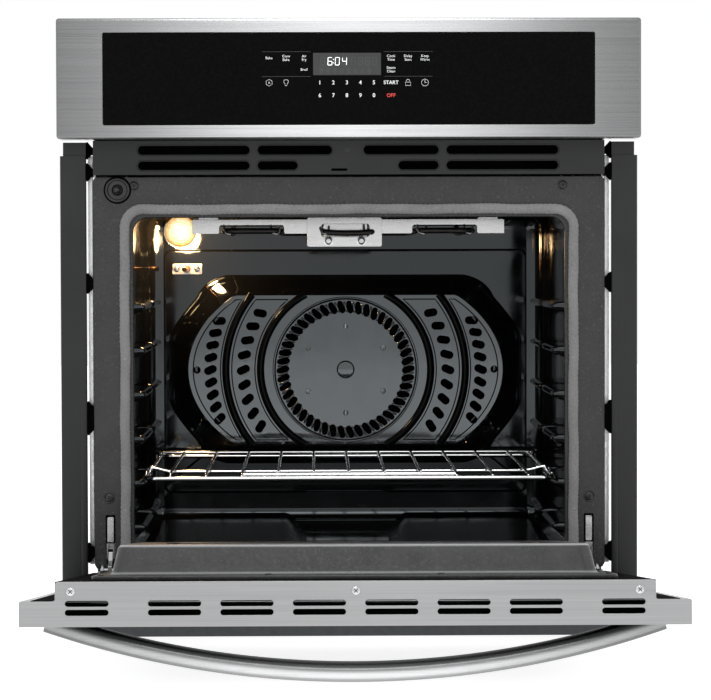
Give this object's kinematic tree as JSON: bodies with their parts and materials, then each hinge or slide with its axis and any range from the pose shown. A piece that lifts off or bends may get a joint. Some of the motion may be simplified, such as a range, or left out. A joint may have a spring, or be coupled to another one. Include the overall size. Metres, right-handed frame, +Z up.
{
  "type": "wall oven",
  "caption": "Built-in single wall oven with a stainless control panel, black enamelled cavity, wire rack, drop-down door with a bowed handle and rear convection fan.",
  "frame": {"origin": "centre line of the oven, on the plane its base rests on, at the cabinet's face (the rear face of the side trims)", "axes": "+X to the right seen from the front, +Y into the cabinet, +Z up"},
  "size_m": [0.686, 1.1383, 0.73],
  "materials": {
    "brushed_panel": "horizontal brushed grain, satin",
    "zinc": "galvanised sheet, dull",
    "chrome_wire": "bright plated wire",
    "pale_metal": "bright stainless strip",
    "speckled_enamel": "dark grey vitreous enamel with fine pale speckle, semi-gloss",
    "cavity_enamel": "glossy black vitreous enamel",
    "dark_paint": "satin dark grey powder coat",
    "black_glass": "opaque black printed glass",
    "clear_glass": "tempered pane, slightly tinted",
    "lamp_glass": "clear lamp cover, lit warm",
    "lamp_bulb": "lit halogen capsule",
    "black_plastic": "moulded black nylon",
    "display": "grey display screen",
    "circuit_board": "green lacquered laminate",
    "gasket_rope": "woven glass fibre rope",
    "glass_wool": "compressed glass wool",
    "element_sheath": "oxidised sheathed element",
    "ceramic": "unglazed porcelain lamp holder",
    "motor_metal": "laminated core and painted can",
    "bright_rotor": "stamped aluminium",
    "spring_steel": "oiled spring steel"
  },
  "bodies": {
    "chassis": {"base_pan": "zinc", "left_side_panel": "zinc", "right_side_panel": "zinc", "top_panel": "zinc", "back_panel": "zinc", "lower_baffle": "dark_paint", "lower_trim": "dark_paint", "left_trim": "dark_paint", "right_trim": "dark_paint", "control_bezel": "brushed_panel", "control_glass": "black_glass", "display_module": "display", "control_board": "circuit_board", "vent_panel": "dark_paint", "front_frame": "speckled_enamel", "door_gasket": "gasket_rope", "light_switch_housing": "black_plastic", "cavity_wrap": "cavity_enamel", "cavity_back": "cavity_enamel", "insulation_wrap": "glass_wool", "fan_cover": "cavity_enamel", "fan_motor": "motor_metal", "lamp_glass": "lamp_glass", "lamp_bulb": "lamp_bulb", "lamp_socket": "ceramic", "temperature_sensor": "pale_metal", "broil_element": "element_sheath", "broil_bracket": "pale_metal", "bake_element": "element_sheath", "bake_shield": "zinc", "hinge_arm_left": "zinc", "hinge_arm_right": "zinc", "hinge_receiver_left": "pale_metal", "hinge_receiver_right": "pale_metal", "blower_housing": "zinc", "blower_motor": "motor_metal", "junction_box": "zinc"},
    "door": {"door_outer_skin": "brushed_panel", "door_top_cap": "brushed_panel", "door_outer_glass": "black_glass", "door_inner_frame": "brushed_panel", "door_liner": "speckled_enamel", "door_inner_glass": "black_glass", "door_middle_glass": "clear_glass", "door_insulation": "glass_wool", "handle": "brushed_panel", "handle_mount_left": "zinc", "handle_mount_right": "zinc", "hinge_channel_left": "zinc", "hinge_channel_right": "zinc", "hinge_pin_left": "spring_steel", "hinge_pin_right": "spring_steel", "hinge_spring_left": "spring_steel", "hinge_spring_right": "spring_steel"},
    "rack": {"oven_rack": "chrome_wire"},
    "fan_rotor": {"convection_fan": "bright_rotor"},
    "blower_rotor": {"blower_wheel": "bright_rotor"},
    "lock_left": {"hinge_lock_left": "spring_steel"},
    "lock_right": {"hinge_lock_right": "spring_steel"},
    "switch_plunger": {"light_switch_plunger": "black_plastic"}
  },
  "joints": [
    {"name": "door_hinge", "type": "hinge", "parent": "chassis", "child": "door", "pos_m": [0, -0.01, 0.079], "axis": [-1, 0, 0], "range_deg": [0, 85]},
    {"name": "rack_slide", "type": "slide", "parent": "chassis", "child": "rack", "axis": [0, 1, 0], "range_m": [-0.33, 0]},
    {"name": "convection_fan_spin", "type": "hinge", "parent": "chassis", "child": "fan_rotor", "pos_m": [0, 0.47, 0.2995], "axis": [0, 1, 0], "continuous": true},
    {"name": "blower_spin", "type": "hinge", "parent": "chassis", "child": "blower_rotor", "pos_m": [0, 0.33, 0.57], "axis": [0, 0, 1], "continuous": true},
    {"name": "lock_left_flip", "type": "hinge", "parent": "chassis", "child": "lock_left", "pos_m": [-0.2848, 0.006, 0.094], "axis": [-1, 0, 0], "range_deg": [-70, 0]},
    {"name": "lock_right_flip", "type": "hinge", "parent": "chassis", "child": "lock_right", "pos_m": [0.2848, 0.006, 0.094], "axis": [-1, 0, 0], "range_deg": [-70, 0]},
    {"name": "light_switch_press", "type": "slide", "parent": "chassis", "child": "switch_plunger", "axis": [0, 1, 0], "range_m": [0, 0.004]}
  ],
  "couplings": [
    {"joint": "light_switch_press", "follows": "door_hinge", "m_per_rad": 0.0026963}
  ]
}
